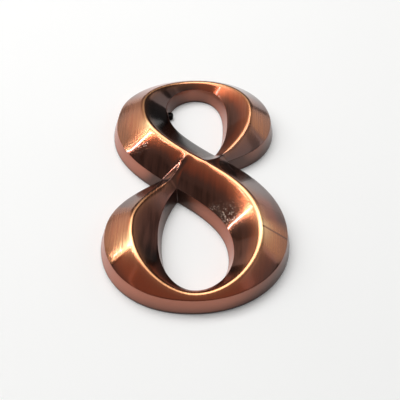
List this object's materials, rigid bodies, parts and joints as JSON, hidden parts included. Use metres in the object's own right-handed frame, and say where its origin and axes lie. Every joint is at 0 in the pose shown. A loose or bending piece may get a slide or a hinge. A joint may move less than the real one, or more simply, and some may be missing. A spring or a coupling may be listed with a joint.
{
  "type": "house number",
  "caption": "Figure eight house number with a chiselled ridge along its stroke, drafted walls and a cored back, for fixing flat to a door or wall.",
  "frame": {"origin": "middle of the back, on the plane that meets the door", "axes": "+X across the figure to its right, +Y up the figure, +Z out of its face"},
  "size_m": [0.0298, 0.05, 0.0059],
  "materials": {
    "antique_copper": "copper plate over moulded plastic, darkened and brushed, with bright worn ridges"
  },
  "bodies": {
    "root": {"number_eight": "antique_copper"}
  },
  "joints": []
}
